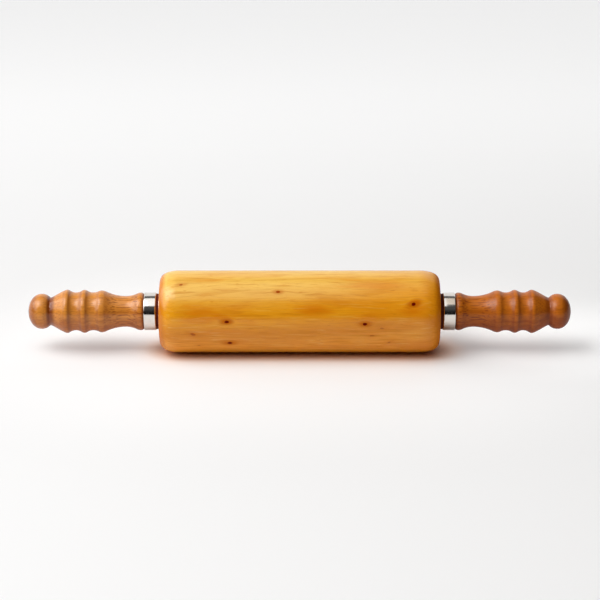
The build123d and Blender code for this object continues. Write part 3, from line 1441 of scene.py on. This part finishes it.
@dataclass(frozen=True)
class Floor:
    """A wide round floor just under the pin.

    The light that it throws back on the pin is even. What is seen of it is warmer beside the line that the
    barrel rests on, which is painted bounce light, and glows: the glow is there for the camera, and faintly
    for mirrorings, and lights nothing. Near the barrel and under the right-hand handle the glow is painted
    light that lightens the shadows.
    """

    level: float = -(BARREL_RADIUS + FLOOR_GAP)
    radius: float = 6.0
    corners: int = 96
    colour: Colour = (0.92, 0.92, 0.925)
    seen: Colour = (0.76, 0.757, 0.755)
    # Painted light: the warm bounce from the barrel, in the floor's seen colour and in its glow beside the
    # line of rest
    painted_bounce_seen: Colour = (0.76, 0.46, 0.30)
    painted_bounce_fade: Ramp = (5 * MM, 30 * MM)
    painted_bounce_glow: Colour = (1.0, 0.60, 0.40)
    painted_bounce_glow_fade: Ramp = (16 * MM, 42 * MM)
    rest_length: float = 100 * MM
    # Painted light: glow that lightens the shadows beside the barrel and under the handles, and under the
    # right-hand handle more
    glow: Ramp = (11 * MM, 30 * MM, 0, 0.20)
    painted_shadow_lift_loss: Ramp = (45 * MM, 240 * MM, 0, 0.11)
    far_glow: Ramp = (0.05, 0.9, 0, 0.22)
    painted_right_lift: Ramp = (110 * MM, 215 * MM, 0, 0.13)
    painted_right_lift_y: float = 25 * MM
    painted_right_lift_edge: Ramp = (110 * MM, 20 * MM)
    mirrored: float = 0.25
    paper: Pattern = Pattern((900, 900, 900))
    paper_depth: float = 0.01 * MM
    paper_strength: float = 0.2

    def build(self) -> None:
        """Lays the floor."""
        bpy.ops.object.select_all(action="DESELECT")
        bpy.ops.mesh.primitive_circle_add(
            vertices=self.corners, radius=self.radius, fill_type="NGON", location=(0, 0, self.level)
        )
        floor = bpy.context.object
        floor.name = "floor_sweep"
        bpy.ops.object.transform_apply(location=True, rotation=True, scale=True)
        floor.data.materials.append(self.material())

    def material(self) -> bpy.types.Material:
        """Pale paper, with painted warm bounce light beside the barrel.

        Returns:
            The material.
        """
        material, graph = new_material("floor_pale")
        place = graph.position()
        x, y, _ = graph.split(place)
        beyond = graph.math("SUBTRACT", graph.math("ABSOLUTE", x), self.rest_length)
        away = graph.vector("LENGTH", graph.join(graph.math("MAXIMUM", beyond, 0.0), y, 0.0))
        rays = graph.node("ShaderNodeLightPath").outputs
        camera, glossy = rays["Is Camera Ray"], rays["Is Glossy Ray"]
        seen_with_painted_bounce = graph.mix(graph.fade(away, *self.painted_bounce_fade), self.painted_bounce_seen, self.seen)
        shown = graph.math("MAXIMUM", camera, graph.times(glossy, self.mirrored))
        graph.surface(
            Base_Color=graph.mix(graph.math("MAXIMUM", camera, glossy), self.colour, seen_with_painted_bounce),
            Roughness=0.75,
            Specular_IOR_Level=0.2,
            Normal=graph.bump(self.paper.laid(graph, place), self.paper_depth, self.paper_strength),
            Emission_Color=graph.mix(graph.fade(away, *self.painted_bounce_glow_fade), self.painted_bounce_glow, self.colour),
            Emission_Strength=graph.times(self.glow_and_painted_lift(graph, x, y, away), shown),
        )
        return material

    def glow_and_painted_lift(self, graph: Graph, x: Feed, y: Feed, away: Feed) -> Feed:
        """How brightly the floor glows: evenly far back, with painted light that lightens the shadows near
        the barrel and under the right-hand handle.

        Args:
            graph: The tree to add nodes to.
            x: The place along X.
            y: The place along Y.
            away: The distance from the line that the barrel rests on.

        Returns:
            The brightness.
        """
        # Painted light: near lightens the shadows beyond the barrel's line of rest, and right lightens the
        # right-hand handle's shadow
        near = graph.math("SUBTRACT", graph.fade(away, *self.glow), graph.fade(away, *self.painted_shadow_lift_loss))
        from_shadow = graph.math("ABSOLUTE", graph.math("SUBTRACT", y, self.painted_right_lift_y))
        right = graph.times(graph.fade(x, *self.painted_right_lift), graph.fade(from_shadow, *self.painted_right_lift_edge))
        return graph.add(near, graph.fade(y, *self.far_glow), right)


@dataclass(frozen=True)
class Viewpoint:
    """The photograph's viewpoint: level with X, looking down a little from well back."""

    distance: float = 1.624
    height: float = 20.0
    lens: float = 120.0
    sensor: float = 36.0
    farthest: float = 50.0
    aim_above: float = 9.2 * MM
    aim_right: float = 0.3 * MM

    def build(self) -> None:
        """Makes the camera."""
        tilt = math.radians(self.height)
        across, up = math.cos(tilt), math.sin(tilt)
        aim = Vector((self.aim_right, self.aim_above * up, self.aim_above * across))
        away = Vector((0, -across, up))
        turn = (-away).to_track_quat("-Z", "Y").to_euler()
        bpy.ops.object.camera_add(location=aim + self.distance * away, rotation=turn)
        camera = bpy.context.object
        camera.data.lens = self.lens
        camera.data.sensor_width = self.sensor
        camera.data.clip_end = self.farthest
        bpy.context.scene.camera = camera


@dataclass
class Studio:
    """A pale floor, softboxes up on the left, light walls round a dark camera side, and the camera."""

    floor: Floor = Floor()
    softboxes: tuple[Softbox, ...] = (
        Softbox("key_softbox", (-0.65, -0.30, 1.27), (1.5, 1.38), 0.95),
        Softbox("key_bulb_glow", (-0.78, -0.42, 1.26), (0.9, 0.8), 2.75),
        Softbox("fill_softbox", (0.30, -0.13, 1.27), (0.40, 1.04), 0.6, (1.0, 0.89, 0.76)),
    )
    panels: tuple[Panel, ...] = (
        Panel(-80, 30, 24, 62, 3.4),
        Panel(199, 57, 0, 46, 1.05, 10),
        Panel(0, 60, 40, 70, 0.07, 30),
        Panel(0, 180, 60, 90, 0.15),
    )
    wall_level: float = 0.01
    backdrop_level: float = 0.93
    viewpoint: Viewpoint = Viewpoint()

    def build(self) -> None:
        """Sets up the floor, the light, the world and the camera."""
        self.floor.build()
        for softbox in self.softboxes:
            softbox.build()
        self.build_world()
        self.viewpoint.build()
        bpy.context.scene.view_settings.view_transform = "Standard"
        log.info("studio: %d softboxes, %d panels", len(self.softboxes), len(self.panels))

    def build_world(self) -> None:
        """Light walls and a dark camera side, by direction. The camera itself sees plain white."""
        world = bpy.data.worlds.new("studio_world")
        bpy.context.scene.world = world
        graph = Graph(world)
        direction = graph.node("ShaderNodeTexCoord").outputs["Generated"]
        height = graph.times(graph.math("ARCSINE", graph.split(direction)[2]), 180 / math.pi)
        level_part = graph.vector("MULTIPLY", direction, (1, 1, 0))
        x, y, _ = graph.split(graph.vector("NORMALIZE", level_part))
        lights = [panel.light(graph, x, y, height) for panel in self.panels]
        walls, backdrop = graph.node("ShaderNodeBackground"), graph.node("ShaderNodeBackground")
        graph.feed(walls.inputs["Strength"], graph.add(self.wall_level, *lights))
        graph.feed(backdrop.inputs["Strength"], self.backdrop_level)
        choice = graph.node("ShaderNodeMixShader")
        camera = graph.node("ShaderNodeLightPath").outputs["Is Camera Ray"]
        graph.feed_all(choice.inputs, (camera, walls.outputs[0], backdrop.outputs[0]))
        graph.tree.links.new(choice.outputs[0], graph.node("ShaderNodeOutputWorld").inputs["Surface"])


def main() -> None:
    """Builds the pieces and the studio in order."""
    logging.basicConfig(level=logging.INFO, format="%(message)s")
    Barrel().build()
    chrome, fibre = CHROME.material(), FIBRE.material()
    for end in End:
        Grip(end).build()
        FerruleAndWasher(end, chrome, fibre).build()
    Bearings().build()
    Studio().build()


if __name__ == "__main__":
    main()
